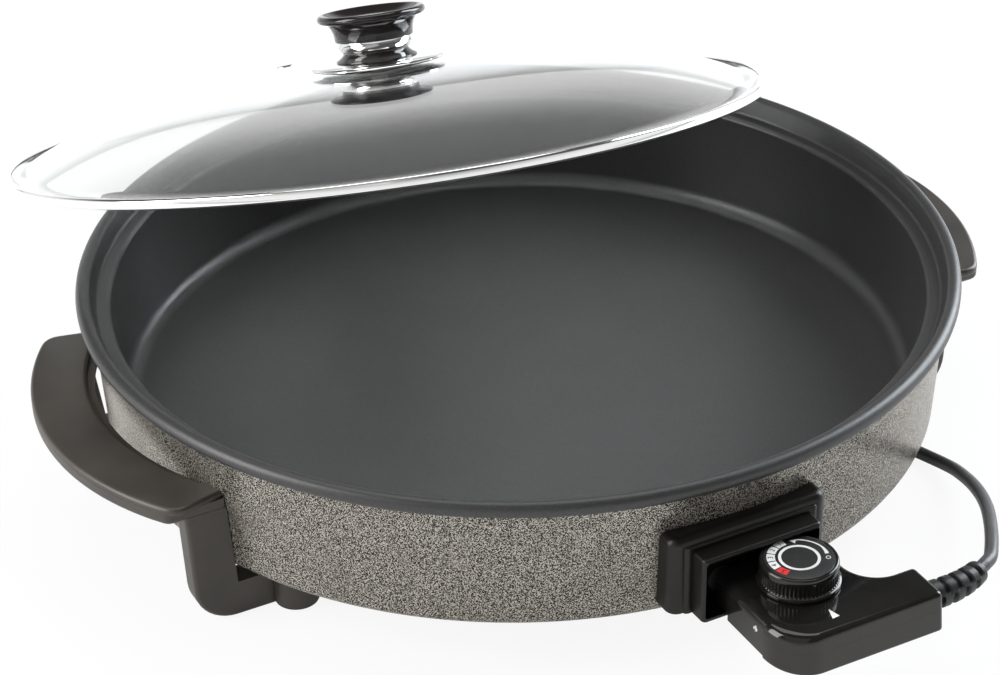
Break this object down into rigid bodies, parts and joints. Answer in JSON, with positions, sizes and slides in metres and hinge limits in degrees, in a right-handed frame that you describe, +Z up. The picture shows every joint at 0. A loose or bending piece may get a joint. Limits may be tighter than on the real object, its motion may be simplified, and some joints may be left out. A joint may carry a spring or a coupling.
{
  "type": "electric skillet",
  "caption": "Round electric skillet on moulded handles with legs, with a loose domed glass lid, a plug-in thermostat with a dial, and a mains cord ending in a plug.",
  "frame": {"origin": "on the pan's axis, at the level of the table that the four legs stand on", "axes": "+Z up along the pan's axis, +X through the right-hand handle, -Y through the thermostat's socket, so that the thermostat pulls out along -Y"},
  "size_m": [0.479, 0.6019, 0.1688],
  "materials": {
    "pan_coating": "speckled grey textured non-stick coating on cast aluminium",
    "satin_steel": "satin",
    "polished_steel": "polished",
    "matte_black": "satin moulded",
    "gloss_black": "gloss",
    "dial_print": "satin with printed rings and numbers",
    "clear_glass": "clear polished",
    "white_ceramic": "matt",
    "brass": "satin",
    "cord_rubber": "satin",
    "silicone": "matt",
    "tie_strap": "woven strap"
  },
  "bodies": {
    "base": {"pan": "pan_coating", "heating_element": "satin_steel", "inlet_plate": "satin_steel", "pin_insulators": "white_ceramic", "earth_pin": "brass", "socket_guard": "matte_black", "guard_screws": "satin_steel", "handle_left": "matte_black", "handle_right": "matte_black", "handle_screws": "satin_steel", "mains_cord": "cord_rubber", "cord_coil": "cord_rubber", "cord_lead": "cord_rubber", "cord_tie": "tie_strap", "plug_body": "matte_black", "plug_pins": "brass", "fuse_cover": "matte_black"},
    "lid": {"lid_glass": "clear_glass", "lid_rim": "polished_steel", "vent_eyelet": "polished_steel", "knob_gasket": "silicone", "knob_skirt": "polished_steel", "knob_foot": "gloss_black", "knob_band": "polished_steel", "knob_body": "gloss_black", "knob_insert": "polished_steel", "inner_gasket": "silicone", "knob_washer": "satin_steel", "knob_screw": "satin_steel"},
    "thermostat": {"thermostat_top": "gloss_black", "thermostat_base": "gloss_black", "housing_screws": "satin_steel", "side_pin": "polished_steel", "probe_tip": "polished_steel", "probe_spring": "satin_steel", "contact_holder": "white_ceramic", "contact_sleeves": "brass", "thermostat_switch": "brass", "terminal_block": "white_ceramic", "supply_wires": "cord_rubber", "cord_tail": "cord_rubber", "cord_clamp": "satin_steel", "strain_relief": "cord_rubber"},
    "dial": {"dial_shaft": "satin_steel", "dial_knob": "gloss_black", "dial_label": "dial_print"}
  },
  "joints": [
    {"name": "lid_lift", "type": "slide", "parent": "base", "child": "lid", "axis": [0, 0, 1], "range_m": [0, 0.15]},
    {"name": "thermostat_pull", "type": "slide", "parent": "base", "child": "thermostat", "axis": [0, -1, 0], "range_m": [0, 0.06], "deforming": ["mains_cord"]},
    {"name": "dial_turn", "type": "hinge", "parent": "thermostat", "child": "dial", "pos_m": [0.01, -0.2315, 0.048], "axis": [0, 0, 1], "range_deg": [-65, 160]}
  ]
}
